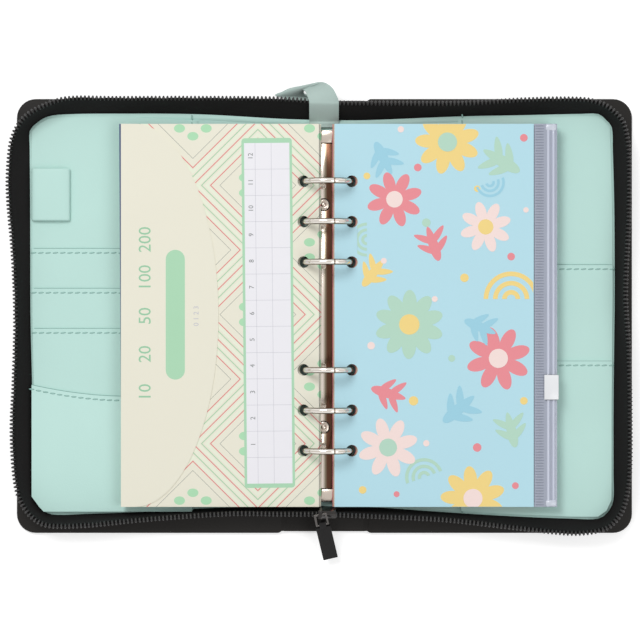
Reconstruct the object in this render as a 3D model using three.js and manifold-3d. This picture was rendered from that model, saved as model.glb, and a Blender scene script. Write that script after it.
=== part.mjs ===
// A zip-around ring wallet with cash envelopes and slider pouches, lying open, in millimetres.
// X runs across the open wallet, Y along its spine and Z up from the table.
// The origin is the centre of the spine's outer face.
import * as THREE from "three";
import { mergeVertices } from "three/addons/utils/BufferGeometryUtils.js";
import Module from "manifold-3d";

const wasm = await Module();
wasm.setup();

// Case
const spineWidth = 39; // between the two fold lines
const coverWidth = 126.5; // from a fold line to the cover's outer edge
const caseHeight = 206;
const spineShortfall = 1.5; // the spine's ends stand back from the covers' by this
const shellThickness = 3;
const cornerRadius = 9;
const edgeChamfer = 0.7;
const liningThickness = 0.6;
const foldGap = 0.6; // between a cover and the spine
const liningInset = 0.9; // the spine's lining from a fold line, for the cover's lining as it turns up
const seat = 0.3; // gap between pieces that lie on each other or are cut to each other

// Zip tape, which stands on the shell round the lining
const zipReach = 13; // from the tape's foot to the middle of the teeth
const tapeWidth = 11.8;
const tapeThickness = 1.2;
const teethHeight = 1.6;
const teethThickness = 1.8;
const tapeEndHeight = 0.3; // what is left of the tape where it is mitred down to a fold line

// The tape's foot line and outward lean on each cover, from the spine's upper end round to its lower end.
// top and bottom: share of the cover's width, inset from the case's edge, lean.
// side: share of half the case's height, inset from the cover's outer edge, lean.
// corners: inset from the outer edge, inset from the top or bottom edge, heading in degrees, lean.
const leftTape = {
  top: [[0, 11.1, 10.3], [0.32, 9, 8.4], [0.636, 7.2, 6.4], [0.81, 7.4, 6.5]],
  topCorner: [[15, 8.2, 72, 4], [9.6, 11.3, 50, 4.2], [6.2, 15, 28, 4.5]],
  side: [
    [0.78, 6.1, 8], [0.58, 6.3, 9.6], [0.29, 6.4, 7], [0, 6.5, 5.8],
    [-0.29, 7.2, 7.3], [-0.54, 7.8, 9.1], [-0.78, 8.6, 7.9],
  ],
  bottomCorner: [[9.2, 14.5, 28, 4.5], [12.4, 10.8, 52, 4.3], [17, 8.7, 75, 4.2]],
  bottom: [[0.74, 9, 4.3], [0.53, 10, 2.6], [0.2, 12.2, 1.9], [0, 12.6, 2.5]],
};
const rightTape = {
  top: [[0, 10.7, 7.8], [0.36, 8.2, 5.1], [0.6, 7.6, 6.3], [0.81, 7, 5.8]],
  topCorner: [[16, 7.1, 70, 3.7], [12.2, 10.1, 45, 3.9], [9.6, 13.5, 22, 4.3]],
  side: [
    [0.76, 9.1, 6.2], [0.49, 8.4, 5.6], [0.1, 8.2, 3.6],
    [-0.15, 8.5, 5.5], [-0.44, 8.8, 6.6], [-0.73, 8.8, 6.3],
  ],
  bottomCorner: [[8.9, 15.5, 20, 4.1], [11.5, 10, 45, 3.9], [16, 6.8, 68, 4.3]],
  bottom: [[0.77, 6.8, 6], [0.565, 7.8, 4.3], [0.3, 9.8, 2.4], [0, 12.4, 3.2]],
};
const spineTopInset = 11.2;
const spineTopLean = 8.6;
const spineBottomInset = 12.6;
const spineBottomLean = 2.5;

// Pockets on the covers
const slipThickness = 0.7;
const pocketThickness = 0.5;
const pocketInset = 1.2; // from the foot of the zip tape
const leftSlipEdge = 60.1; // the slip pocket's free edge from the spine's middle
const rightSlipEdge = 63.2;
const cardPocketMargin = 1.4; // from the slip pocket's free edge
const leftCardTops = [31.9, 13, -6];
const rightCardTops = [24.3, -20.7];
const leftCardBottom = -60;
const curvedPocketOuterTop = -32.5;
const curvedPocketInnerTop = -43;
const penLoopWidth = 18.6;
const penLoopLength = 24.8;
const penLoopHeight = 3.2;
const penLoopWall = 0.8;
const penLoopY = 57.6;
const penLoopInset = 7.6; // from the cover's outer edge

// Ring mechanism
const ringX = 1.5; // the rings' middle, a little right of the spine's
const ringZ = 13;
const ringRadius = 10.4; // to the wire's centre
const wireRadius = 1.45;
const wireSides = 10;
const ringPitch = 19.05; // within each group of three
const ringGroupSpacing = 50.8; // between the inner rings of the two groups
const ringJoint = 3; // the rings part this far right of their middle
const plateLength = 163;
const plateHalfWidth = 11;
const plateRise = 4.3;
const plateMetal = 0.8;
const bladeThickness = 0.8;
const bladeLift = 0.6; // under the blades
const bladeReach = 9.4; // blade's outer edge from the rings' middle
const bladeLength = 158;
const slotLength = 4.2; // the plate's notch for a ring, along the spine
const slotInner = 5; // the notch's inner end from the rings' middle
const rivetHeadRadius = 2.8;
const rivetHeadHeight = 1.2;
const rivetShankRadius = 1.5;
const rivetY = 52.6;
const rivetOffset = -1.9; // from the rings' middle
const leverLength = 6;
const leverHalfWidth = 6;
const leverLug = 1.6;
const leverLugInset = 0.6; // keeps the lug clear of the plate's end as the lever is pressed

// Leaves on the rings
const leafHeight = 180.6;
const leafCentreY = 0.3;
const envelopeInner = 4.1; // the top envelope's inner edge from the rings' middle
const envelopeWidth = 93.3;
const pouchInner = 3.2;
const pouchWidth = 94;
const holeRadius = 2.8;
const holeSides = 14;
const leafGap = 0.2;
const envelopeThickness = 0.7;
const flapThickness = 0.3;
const dividerThickness = 0.3;
const dividerOverhang = 1.1; // past the top envelope's outer edge
const sheetThickness = 0.4;
const flapReach = 39.3; // the flap's round end, from its corners
const flapInset = 6.4; // the flap's corners from the envelope's outer edge

// Slider strip of a pouch
const pouchThickness = 0.9;
const filmThickness = 0.4;
const stripWidth = 10.7;
const trackWidth = 4.4;
const trackThickness = 1.5;
const trackInset = 0.6; // from the strip's outer edge
const sliderLength = 11.7;
const sliderWall = 0.4;
const sliderSide = 1.1;
const frontSliderY = -33.6;
const rearSliderY = -57;

// Zip slider and its pull, at the spine's lower end
const zipSliderLength = 7.8;
const zipSliderX = 1.5;
const sliderPlate = 1.1;
const sliderDrop = 5.4; // how far its plates come down the tape
const sliderBridge = 2;
const crownWidth = 1.8;
const crownWall = 0.8;
const crownRoom = 1.1; // half the hole that the bail turns in
const pullX = -2;
const pullLean = 13; // degrees, seen from above
const pullSlope = 30; // degrees below level
const bailWidth = 6.3;
const bailLength = 6.8;
const bailWire = 1.15;
const bailThickness = 0.9;
const tabWidth = 7;
const tabLength = 18.2;
const tabThickness = 1.8;
const tabNeckWidth = 3.2;
const tabNeckLength = 3.6;
const tabNeckThickness = 2.6;

// Strap loop at the spine's upper end
const strapWidth = 14;
const strapThickness = 1.2;
const strapX = -0.2;

const looks = {
  black: [0x282624, 0.55, 0],
  mint: [0xc0e2db, 0.6, 0],
  nickel: [0xc8c2b8, 0.2, 1],
  cream: [0xe6e4d4, 0.85, 0],
  slate: [0x56678a, 0.8, 0],
  blue: [0xb2dae6, 0.5, 0],
  coral: [0xe48890, 0.6, 0],
  yellow: [0xecd07c, 0.6, 0],
  green: [0xafd8b4, 0.6, 0],
  film: [0xdfe6ee, 0.2, 0],
  milky: [0xe8eaec, 0.35, 0],
  webbing: [0xb9c6c2, 0.7, 0],
};

const wallet = new THREE.Group();

function add(name, geometry, look, parent = wallet) {
  const [color, roughness, metalness] = looks[look];
  const mesh = new THREE.Mesh(geometry, new THREE.MeshStandardMaterial({ color, roughness, metalness }));
  mesh.name = name;
  parent.add(mesh);
}

// Solids for cutting and joining
function solid(geometry) {
  const bare = geometry.clone();
  bare.deleteAttribute("normal");
  bare.deleteAttribute("uv");
  const merged = mergeVertices(bare, 1e-4);
  return new wasm.Manifold(
    new wasm.Mesh({
      numProp: 3,
      vertProperties: merged.attributes.position.array,
      triVerts: new Uint32Array(merged.index.array),
    }),
  );
}

function geometryOf(manifold) {
  const mesh = manifold.getMesh();
  const geometry = new THREE.BufferGeometry();
  geometry.setAttribute("position", new THREE.BufferAttribute(mesh.vertProperties, 3));
  geometry.setIndex(new THREE.BufferAttribute(mesh.triVerts, 1));
  return geometry;
}

const cut = (geometry, ...tools) =>
  geometryOf(tools.reduce((left, tool) => left.subtract(solid(tool)), solid(geometry)));

const join = (geometry, ...others) =>
  geometryOf(others.reduce((whole, other) => whole.add(solid(other)), solid(geometry)));

const common = (geometry, other) => geometryOf(solid(geometry).intersect(solid(other)));

function box(low, high) {
  const size = high.map((h, i) => h - low[i]);
  const middle = high.map((h, i) => (h + low[i]) / 2);
  return new THREE.BoxGeometry(...size).translate(...middle);
}

function post(radius, x, y, low, high, sides) {
  return new THREE.CylinderGeometry(radius, radius, high - low, sides)
    .rotateX(Math.PI / 2)
    .translate(x, y, (low + high) / 2);
}

const outline = (points) => new THREE.Shape(points.map(([x, y]) => new THREE.Vector2(x, y)));

function slab(shape, low, high) {
  return new THREE.ExtrudeGeometry(shape, { depth: high - low, bevelEnabled: false, curveSegments: 6 })
    .translate(0, 0, low);
}

// A profile of X and Z points, drawn out along Y
function alongY(points, low, high) {
  return new THREE.ExtrudeGeometry(outline(points), { depth: high - low, bevelEnabled: false })
    .rotateX(Math.PI / 2)
    .translate(0, high, 0);
}

// A profile of Y and Z points, drawn out along X
function alongX(points, low, high) {
  return new THREE.ExtrudeGeometry(outline(points), { depth: high - low, bevelEnabled: false })
    .rotateX(Math.PI / 2)
    .rotateZ(Math.PI / 2)
    .translate(low, 0, 0);
}

// A closed skin over a row of sections that have the same number of corners
function loft(sections) {
  const sides = sections[0].length;
  const points = sections.flat();
  const faces = [];
  for (let s = 0; s + 1 < sections.length; s++) {
    for (let i = 0; i < sides; i++) {
      const a = s * sides + i;
      const b = s * sides + ((i + 1) % sides);
      faces.push([a, b, b + sides], [a, b + sides, a + sides]);
    }
  }
  const last = points.length - sides;
  for (let i = 1; i + 1 < sides; i++) {
    faces.push([0, i + 1, i], [last, last + i, last + i + 1]);
  }
  const volume = faces.reduce(
    (sum, [a, b, c]) => sum + points[a].dot(points[b].clone().cross(points[c])),
    0,
  );
  const index = volume > 0 ? faces.flat() : faces.flatMap(([a, b, c]) => [a, c, b]);
  const geometry = new THREE.BufferGeometry().setFromPoints(points);
  geometry.setIndex(index);
  return geometry;
}

const radians = THREE.MathUtils.degToRad;
const foldX = spineWidth / 2;
const coverEdge = foldX + coverWidth;
const halfHeight = caseHeight / 2;
const liningTop = shellThickness + liningThickness;
const slipTop = liningTop + slipThickness;

// Shells of board in black leathercloth
function shell(left, right, bottom, top, roundLeft, roundRight) {
  const c = edgeChamfer;
  const shape = new THREE.Shape();
  const rl = roundLeft ? cornerRadius - c : 0;
  const rr = roundRight ? cornerRadius - c : 0;
  const [x0, x1, y0, y1] = [left + c, right - c, bottom + c, top - c];
  shape.moveTo(x0 + rl, y0);
  shape.lineTo(x1 - rr, y0);
  if (rr) shape.absarc(x1 - rr, y0 + rr, rr, -Math.PI / 2, 0);
  shape.lineTo(x1, y1 - rr);
  if (rr) shape.absarc(x1 - rr, y1 - rr, rr, 0, Math.PI / 2);
  shape.lineTo(x0 + rl, y1);
  if (rl) shape.absarc(x0 + rl, y1 - rl, rl, Math.PI / 2, Math.PI);
  shape.lineTo(x0, y0 + rl);
  if (rl) shape.absarc(x0 + rl, y0 + rl, rl, Math.PI, Math.PI * 1.5);
  return new THREE.ExtrudeGeometry(shape, {
    depth: shellThickness - 2 * c,
    bevelThickness: c,
    bevelSize: c,
    bevelSegments: 1,
    curveSegments: 6,
  }).translate(0, 0, c);
}

const spineHalf = foldX - foldGap / 2;
const coverStart = foldX + foldGap / 2;
const spineEnd = halfHeight - spineShortfall;
add("spine_panel", shell(-spineHalf, spineHalf, -spineEnd, spineEnd, false, false), "black");
add("left_shell", shell(-coverEdge, -coverStart, -halfHeight, halfHeight, true, false), "black");
add("right_shell", shell(coverStart, coverEdge, -halfHeight, halfHeight, false, true), "black");

// Zip tape: stations round the edge, each with its foot point, outward heading and lean
function stationsOf(tape, side) {
  const onEdge = (end) => ([share, inset, lean]) => ({
    x: side * (foldX + share * coverWidth),
    y: end * (halfHeight - inset),
    out: new THREE.Vector2(0, end),
    lean,
  });
  const onCorner = (end) => ([sideInset, endInset, heading, lean]) => ({
    x: side * (coverEdge - sideInset),
    y: end * (halfHeight - endInset),
    out: new THREE.Vector2(side * Math.cos(radians(heading)), end * Math.sin(radians(heading))),
    lean,
  });
  const onSide = ([share, inset, lean]) => ({
    x: side * (coverEdge - inset),
    y: share * halfHeight,
    out: new THREE.Vector2(side, 0),
    lean,
  });
  return [
    ...tape.top.map(onEdge(1)),
    ...tape.topCorner.map(onCorner(1)),
    ...tape.side.map(onSide),
    ...tape.bottomCorner.map(onCorner(-1)),
    ...tape.bottom.map(onEdge(-1)),
  ];
}

const tilt = (station) => Math.asin(station.lean / zipReach);
const riseOf = (station, along) => along * Math.cos(tilt(station));

// The tape's section at a station, between two distances up the tape, with its thickness from inner to outer
function tapeSection(station, from, to, inner, outer) {
  const angle = tilt(station);
  const corner = (along, across) => {
    const reach = along * Math.sin(angle) + across / Math.cos(angle);
    return new THREE.Vector3(
      station.x + station.out.x * reach,
      station.y + station.out.y * reach,
      shellThickness + along * Math.cos(angle),
    );
  };
  return [corner(from, inner), corner(from, outer), corner(to, outer), corner(to, inner)];
}

const wallSection = (station) => tapeSection(station, 0, station.tall ?? tapeWidth, 0, tapeThickness);
const teethFoot = tapeWidth + seat;
const teethTop = teethFoot + teethHeight;
const teethInner = (tapeThickness - teethThickness) / 2;
const teethSection = (station) =>
  tapeSection(station, teethFoot, teethTop, teethInner, teethInner + teethThickness);

// Near a fold line the tape is no taller than its distance from it, so that a cover can close
function mitred(station, side, tall) {
  const low = tapeEndHeight / Math.cos(tilt(station));
  const startX = coverStart + tapeEndHeight;
  return [
    { ...station, x: side * startX, tall: low },
    { ...station, x: side * (startX + riseOf(station, tall)) },
  ];
}

const walls = {};
for (const [name, side, tape] of [["left", -1, leftTape], ["right", 1, rightTape]]) {
  const stations = stationsOf(tape, side);
  const [first, last] = [stations[0], stations.at(-1)];
  const between = stations.slice(1, -1);
  walls[name] = [
    ...mitred(first, side, tapeWidth),
    ...between,
    ...mitred(last, side, tapeWidth).reverse(),
  ];
  const teeth = [mitred(first, side, teethTop)[1], ...between, mitred(last, side, teethTop)[1]];
  add(name + "_zip_tape", loft(walls[name].map(wallSection)), "black");
  add(name + "_zip_teeth", loft(teeth.map(teethSection)), "black");
}

function spineTape(end, inset, lean) {
  const foot = { y: end * (halfHeight - inset), out: new THREE.Vector2(0, end), lean };
  const startX = spineHalf - tapeEndHeight;
  const low = tapeEndHeight / Math.cos(tilt(foot));
  const fullX = startX - riseOf(foot, tapeWidth);
  const stations = [
    { ...foot, x: -startX, tall: low },
    { ...foot, x: -fullX },
    { ...foot, x: fullX },
    { ...foot, x: startX, tall: low },
  ];
  return loft(stations.map(wallSection));
}
add("spine_tape_top", spineTape(1, spineTopInset, spineTopLean), "black");
add("spine_tape_bottom", spineTape(-1, spineBottomInset, spineBottomLean), "black");

// Lining and pockets
function inside(stations, side, inset, start) {
  const feet = stations.map((s) => [s.x - s.out.x * inset, s.y - s.out.y * inset]);
  feet[0][0] = side * start;
  feet[feet.length - 1][0] = side * start;
  return outline(feet);
}

const spineLiningTop = halfHeight - spineTopInset - seat;
const spineLiningBottom = halfHeight - spineBottomInset - seat;
add(
  "spine_lining",
  box(
    [liningInset - foldX, -spineLiningBottom, shellThickness],
    [foldX - liningInset, spineLiningTop, liningTop],
  ),
  "mint",
);

function pocket(name, low, high, corners) {
  const side = name === "left" ? -1 : 1;
  const field = slab(inside(walls[name], side, pocketInset, coverStart), low, high);
  return common(field, slab(outline(corners.map(([x, y]) => [side * x, y])), low, high));
}

for (const [name, wall] of Object.entries(walls)) {
  const side = name === "left" ? -1 : 1;
  const slipEdge = name === "left" ? leftSlipEdge : rightSlipEdge;
  const field = (bottom, top) => [
    [slipEdge, bottom], [coverEdge, bottom], [coverEdge, top], [slipEdge, top],
  ];
  add(name + "_lining", slab(inside(wall, side, seat, coverStart), shellThickness, liningTop), "mint");
  add(name + "_slip_pocket", pocket(name, liningTop, slipTop, field(-halfHeight, halfHeight)), "mint");
  const tops = name === "left" ? leftCardTops : rightCardTops;
  const bottom = name === "left" ? leftCardBottom : -halfHeight;
  tops.forEach((top, i) => {
    const low = slipTop + i * pocketThickness;
    const start = slipEdge + cardPocketMargin;
    const corners = [[start, bottom], [coverEdge, bottom], [coverEdge, top], [start, top]];
    add(`${name}_card_pocket_${i + 1}`, pocket(name, low, low + pocketThickness, corners), "mint");
  });
}

const curvedLow = slipTop + leftCardTops.length * pocketThickness;
const curvedCorners = [
  [leftSlipEdge + cardPocketMargin, -halfHeight],
  [coverEdge, -halfHeight],
  [coverEdge, curvedPocketOuterTop],
  [leftSlipEdge + cardPocketMargin, curvedPocketInnerTop],
];
add(
  "left_curved_pocket",
  pocket("left", curvedLow, curvedLow + pocketThickness, curvedCorners),
  "mint",
);

// The pen loop, a flattened tube stitched down on the slip pocket
function flatTube(width, height, lift) {
  const half = height / 2;
  const points = [];
  for (const [centre, start] of [[width / 2 - half, -90], [half - width / 2, 90]]) {
    for (let step = 0; step <= 6; step++) {
      const angle = radians(start + step * 30);
      points.push([centre + half * Math.cos(angle), lift + half + half * Math.sin(angle)]);
    }
  }
  return points;
}
const penLoopX = -(coverEdge - penLoopInset - penLoopWidth / 2);
const loopEnds = [penLoopY - penLoopLength / 2, penLoopY + penLoopLength / 2];
const loopHole = flatTube(penLoopWidth - 2 * penLoopWall, penLoopHeight - 2 * penLoopWall, penLoopWall);
add(
  "pen_loop",
  cut(
    alongY(flatTube(penLoopWidth, penLoopHeight, 0), ...loopEnds),
    alongY(loopHole, loopEnds[0] - 1, loopEnds[1] + 1),
  ).translate(penLoopX, 0, slipTop),
  "mint",
);

// Ring mechanism: an arched plate over two blades that carry the half rings
const plateFoot = liningTop + seat;
const bladeLow = liningTop + bladeLift;
const bladeTop = bladeLow + bladeThickness;
const ringYs = [];
for (const group of [1, -1]) {
  for (const place of [2, 1, 0]) {
    ringYs.push(group * (ringGroupSpacing / 2 + place * ringPitch));
  }
}
ringYs.sort((a, b) => b - a);

// Height of the plate's arch at a distance from its middle, for its outer and its inner face
function archHeight(offset, metal) {
  const half = plateHalfWidth - metal;
  return plateFoot + (plateRise - metal) * Math.sqrt(Math.max(0, 1 - (offset / half) ** 2));
}

function archProfile(half, steps) {
  const outer = [];
  const inner = [];
  for (let i = 0; i <= steps; i++) {
    const turn = Math.PI * (i / steps);
    outer.push([half * Math.cos(turn), archHeight(half * Math.cos(turn), 0)]);
    const innerHalf = Math.min(half, plateHalfWidth - plateMetal);
    inner.push([innerHalf * Math.cos(turn), archHeight(innerHalf * Math.cos(turn), plateMetal)]);
  }
  return [...outer, ...inner.reverse()];
}

const slots = ringYs.flatMap((y) =>
  [-1, 1].map((side) => {
    const ends = [side * slotInner, side * (plateHalfWidth + 1)].sort((a, b) => a - b);
    return box(
      [ends[0], y - slotLength / 2, plateFoot - 1],
      [ends[1], y + slotLength / 2, plateFoot + plateRise + 1],
    );
  }),
);
const rivetHoles = [1, -1].map((end) =>
  post(rivetHeadRadius + seat, rivetOffset, end * rivetY, plateFoot, plateFoot + plateRise + 1, 20),
);
add(
  "ring_plate",
  cut(alongY(archProfile(plateHalfWidth, 16), -plateLength / 2, plateLength / 2), ...slots, ...rivetHoles)
    .translate(ringX, 0, 0),
  "nickel",
);

// Rivets that hold the plate to the spine, with domed heads sunk in its holes
const rivetTop = plateFoot + plateRise;
const rivetHeadLow = rivetTop - rivetHeadHeight;
const rivetProfile = [
  [0, liningTop], [rivetShankRadius, liningTop], [rivetShankRadius, rivetHeadLow],
  [rivetHeadRadius, rivetHeadLow], [rivetHeadRadius * 0.9, rivetHeadLow + rivetHeadHeight * 0.5],
  [rivetHeadRadius * 0.6, rivetHeadLow + rivetHeadHeight * 0.85], [0, rivetTop],
].map(([r, z]) => new THREE.Vector2(r, z));
for (const [name, end] of [["upper_rivet", 1], ["lower_rivet", -1]]) {
  const rivet = new THREE.LatheGeometry(rivetProfile, 18)
    .rotateX(Math.PI / 2)
    .translate(ringX + rivetOffset, end * rivetY, 0);
  add(name, rivet, "nickel");
}

const rivetNotch = rivetShankRadius + 2 * seat;
const notches = [1, -1].map((end) =>
  box(
    [rivetOffset - rivetNotch, end * rivetY - rivetNotch, bladeLow - 1],
    [1, end * rivetY + rivetNotch, bladeTop + 1],
  ),
);
const blade = (inner, outer) =>
  box([inner, -bladeLength / 2, bladeLow], [outer, bladeLength / 2, bladeTop]);
add("left_blade", cut(blade(-bladeReach, -seat / 2), ...notches).translate(ringX, 0, 0), "nickel");
add("right_blade", blade(seat / 2, bladeReach).translate(ringX, 0, 0), "nickel");

// Half rings, cut off flat where they stand on the blades
const footAngle = Math.asin((ringZ - bladeTop) / (ringRadius - wireRadius)) + radians(3);
const jointAngle = Math.acos(ringJoint / ringRadius);
const jointGap = seat / 2 / ringRadius;

function halfRing(from, to, steps) {
  const sections = [];
  for (let i = 0; i <= steps; i++) {
    const angle = from + (to - from) * (i / steps);
    const section = [];
    for (let k = 0; k < wireSides; k++) {
      const turn = (2 * Math.PI * k) / wireSides;
      const reach = ringRadius + wireRadius * Math.cos(turn);
      section.push(
        new THREE.Vector3(reach * Math.cos(angle), wireRadius * Math.sin(turn), reach * Math.sin(angle)),
      );
    }
    sections.push(section);
  }
  const below = box(
    [-2 * ringRadius, -2 * wireRadius, -2 * ringRadius],
    [2 * ringRadius, 2 * wireRadius, bladeTop - ringZ],
  );
  return cut(loft(sections), below);
}
const leftHalf = halfRing(jointAngle + jointGap, Math.PI + footAngle, 15);
const rightHalf = halfRing(-footAngle, jointAngle - jointGap, 12);
ringYs.forEach((y, i) => {
  add(`left_half_ring_${i + 1}`, leftHalf.clone().translate(ringX, y, ringZ), "nickel");
  add(`right_half_ring_${i + 1}`, rightHalf.clone().translate(ringX, y, ringZ), "nickel");
});

// Levers at the plate's ends, which open and shut the rings
const leverStart = plateLength / 2 + seat;
const lugStart = leverStart + leverLugInset;
const lever = join(
  alongY(archProfile(leverHalfWidth, 8), leverStart, leverStart + leverLength),
  box(
    [-leverHalfWidth / 2, lugStart, bladeLow],
    [leverHalfWidth / 2, lugStart + leverLug, archHeight(0, plateMetal) + plateMetal / 2],
  ),
);
add("upper_lever", lever.clone().translate(ringX, 0, 0), "nickel");
add("lower_lever", lever.clone().rotateZ(Math.PI).translate(ringX, 0, 0), "nickel");

// Leaves. Each lies a little lower than the one above, and its holes follow the rings inwards.
function holeCentre(low, high) {
  const drop = ringZ - (low + high) / 2;
  const wireAt = Math.sqrt(ringRadius ** 2 - drop ** 2);
  return wireAt + holeRadius - (wireRadius * ringRadius) / wireAt - seat;
}

const topLeafHigh = ringZ - seat;
const topHole = holeCentre(topLeafHigh - envelopeThickness, topLeafHigh);

function leaf(side, inner, width, low, high, extra = 0) {
  const hole = holeCentre(low, high);
  const start = inner + hole - topHole;
  const bottom = leafCentreY - leafHeight / 2;
  const corners = [
    [start, bottom], [start + width, bottom], [start + width + extra, bottom + leafHeight],
    [start, bottom + leafHeight],
  ];
  const sheet = slab(outline(corners.map(([u, y]) => [ringX + side * u, y])), low, high);
  const punches = ringYs.map((y) =>
    post(holeRadius, ringX + side * hole, y, low - 1, high + 1, holeSides),
  );
  return cut(sheet, ...punches);
}

// The flap is half an ellipse on a strip along the envelope's outer edge
function flapShape() {
  const outer = -(envelopeInner + envelopeWidth);
  const half = leafHeight / 2;
  const points = [[outer, -half]];
  const steps = 24;
  for (let i = 0; i <= steps; i++) {
    const angle = Math.PI * (i / steps - 0.5);
    points.push([outer + flapInset + flapReach * Math.cos(angle), half * Math.sin(angle)]);
  }
  points.push([outer, half]);
  return outline(points.map(([u, y]) => [ringX + u, leafCentreY + y]));
}

const bodyHigh = topLeafHigh - flapThickness;
add(
  "cash_envelope_1",
  join(
    leaf(-1, envelopeInner, envelopeWidth, bodyHigh - envelopeThickness, bodyHigh),
    slab(flapShape(), bodyHigh, topLeafHigh),
  ),
  "cream",
);
let layTop = bodyHigh - envelopeThickness - leafGap;
add(
  "blue_divider",
  leaf(-1, envelopeInner, envelopeWidth, layTop - dividerThickness, layTop, dividerOverhang),
  "slate",
);
layTop -= dividerThickness + leafGap;
for (const number of [2, 3, 4]) {
  add(
    `cash_envelope_${number}`,
    leaf(-1, envelopeInner, envelopeWidth, layTop - envelopeThickness, layTop),
    "cream",
  );
  layTop -= envelopeThickness + leafGap;
}

// A pouch's clear strip with its press track, its slider round the track, and its printed panel
function pouch(name, high, look, sliderY) {
  const low = high - pouchThickness;
  const middle = (low + high) / 2;
  const stripStart = ringX + pouchInner + holeCentre(low, high) - topHole + pouchWidth + seat;
  const stripEnd = stripStart + stripWidth;
  const trackEnd = stripEnd - trackInset;
  const trackStart = trackEnd - trackWidth;
  const film = filmThickness / 2;
  const track = trackThickness / 2;
  const ends = [leafCentreY - leafHeight / 2, leafCentreY + leafHeight / 2];
  add(name, leaf(1, pouchInner, pouchWidth, low, high), look);
  const strip = [
    [stripStart, -film], [trackStart, -film], [trackStart, -track], [trackEnd, -track],
    [trackEnd, -film], [stripEnd, -film], [stripEnd, film], [trackEnd, film],
    [trackEnd, track], [trackStart, track], [trackStart, film], [stripStart, film],
  ];
  add(name + "_zip_strip", alongY(strip, ...ends).translate(0, 0, middle), "film");
  const room = track + seat;
  const outer = room + sliderWall;
  const slotEnd = stripEnd + seat;
  const gripEnd = slotEnd + sliderWall;
  const grip = [
    [trackStart - sliderSide, -outer], [gripEnd, -outer], [gripEnd, outer],
    [trackStart - sliderSide, outer], [trackStart - sliderSide, film + seat],
    [trackStart - seat, film + seat], [trackStart - seat, room], [slotEnd, room],
    [slotEnd, -room], [trackStart - seat, -room], [trackStart - seat, -film - seat],
    [trackStart - sliderSide, -film - seat],
  ];
  const sliderEnds = [sliderY - sliderLength / 2, sliderY + sliderLength / 2];
  add(name + "_slider", alongY(grip, ...sliderEnds).translate(0, 0, middle), "milky");
}

pouch("front_pouch", topLeafHigh, "blue", frontSliderY);
let sheetTop = topLeafHigh - pouchThickness - leafGap;
for (const look of ["coral", "yellow", "green"]) {
  add(look + "_sheet", leaf(1, pouchInner, pouchWidth, sheetTop - sheetThickness, sheetTop), look);
  sheetTop -= sheetThickness + leafGap;
}
const sliderHeight = trackThickness + 2 * (seat + sliderWall);
pouch("rear_pouch", topLeafHigh - sliderHeight - seat, "coral", rearSliderY);

// Zip slider: two plates and a bridge astride the tape, and a crown that holds the bail
const zipFoot = { y: -(halfHeight - spineBottomInset), lean: spineBottomLean };
const zipTilt = tilt(zipFoot);
const tapeTopZ = shellThickness + riseOf(zipFoot, tapeWidth);
const slopeAt = (z) => zipFoot.y - (z - shellThickness) * Math.tan(zipTilt);
const tapeAcross = tapeThickness / Math.cos(zipTilt);
const zipLow = tapeTopZ - sliderDrop;
const zipBridge = tapeTopZ + seat;
const zipTop = zipBridge + sliderBridge;
const innerFace = (z) => slopeAt(z) + seat;
const outerFace = (z) => slopeAt(z) - tapeAcross - seat;
const zipProfile = [
  [innerFace(zipLow) + sliderPlate, zipLow], [innerFace(zipTop) + sliderPlate, zipTop],
  [outerFace(zipTop) + sliderPlate, zipTop],
  [outerFace(tapeTopZ) - sliderPlate, tapeTopZ - sliderPlate / 2],
  [outerFace(zipLow) - sliderPlate, zipLow], [outerFace(zipLow), zipLow],
  [outerFace(zipBridge), zipBridge], [innerFace(zipBridge), zipBridge], [innerFace(zipLow), zipLow],
];
const pullY = (innerFace(zipTop) + outerFace(zipTop)) / 2 + seat;
const pullZ = zipTop + crownRoom;
const zipSliderBody = alongX(zipProfile, zipSliderX - zipSliderLength / 2, zipSliderX + zipSliderLength / 2);
const crownSpan = crownRoom + crownWall;
const crown = cut(
  box(
    [pullX - crownWidth / 2, pullY - crownSpan, zipTop - 0.4],
    [pullX + crownWidth / 2, pullY + crownSpan, pullZ + crownSpan],
  ),
  box(
    [pullX - crownWidth, pullY - crownRoom, zipTop],
    [pullX + crownWidth, pullY + crownRoom, pullZ + crownRoom],
  ),
);
add("zip_slider", join(zipSliderBody, crown), "nickel");

// Bail and leather tab, built along -Y from the bail's bar and then laid down on their slope
const pull = new THREE.Group();
pull.position.set(pullX, pullY, pullZ);
pull.rotation.order = "ZXY";
pull.rotation.set(radians(pullSlope), 0, radians(pullLean));
wallet.add(pull);

const bailHalf = bailThickness / 2;
const windowHalf = bailWidth / 2 - bailWire;
add(
  "pull_bail",
  cut(
    box([-bailWidth / 2, bailWire / 2 - bailLength, -bailHalf], [bailWidth / 2, bailWire / 2, bailHalf]),
    box([-windowHalf, 1.5 * bailWire - bailLength, -1], [windowHalf, -bailWire / 2, 1]),
  ),
  "nickel",
  pull,
);
const barEnd = bailLength - bailWire / 2;
const neckStart = barEnd - bailWire - seat - crownWall;
const tabStart = barEnd + 2 * seat;
const tabJoin = 0.5;
add(
  "pull_tab",
  cut(
    join(
      box(
        [-tabNeckWidth / 2, -(tabStart + tabJoin), -tabNeckThickness / 2],
        [tabNeckWidth / 2, -neckStart, tabNeckThickness / 2],
      ),
      box(
        [-tabWidth / 2, -(tabStart + tabLength), -tabThickness / 2],
        [tabWidth / 2, -tabStart, tabThickness / 2],
      ),
    ),
    box(
      [-tabWidth, -(barEnd + seat), -bailHalf - seat],
      [tabWidth, -(barEnd - bailWire - seat), bailHalf + seat],
    ),
  ),
  "black",
  pull,
);

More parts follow.
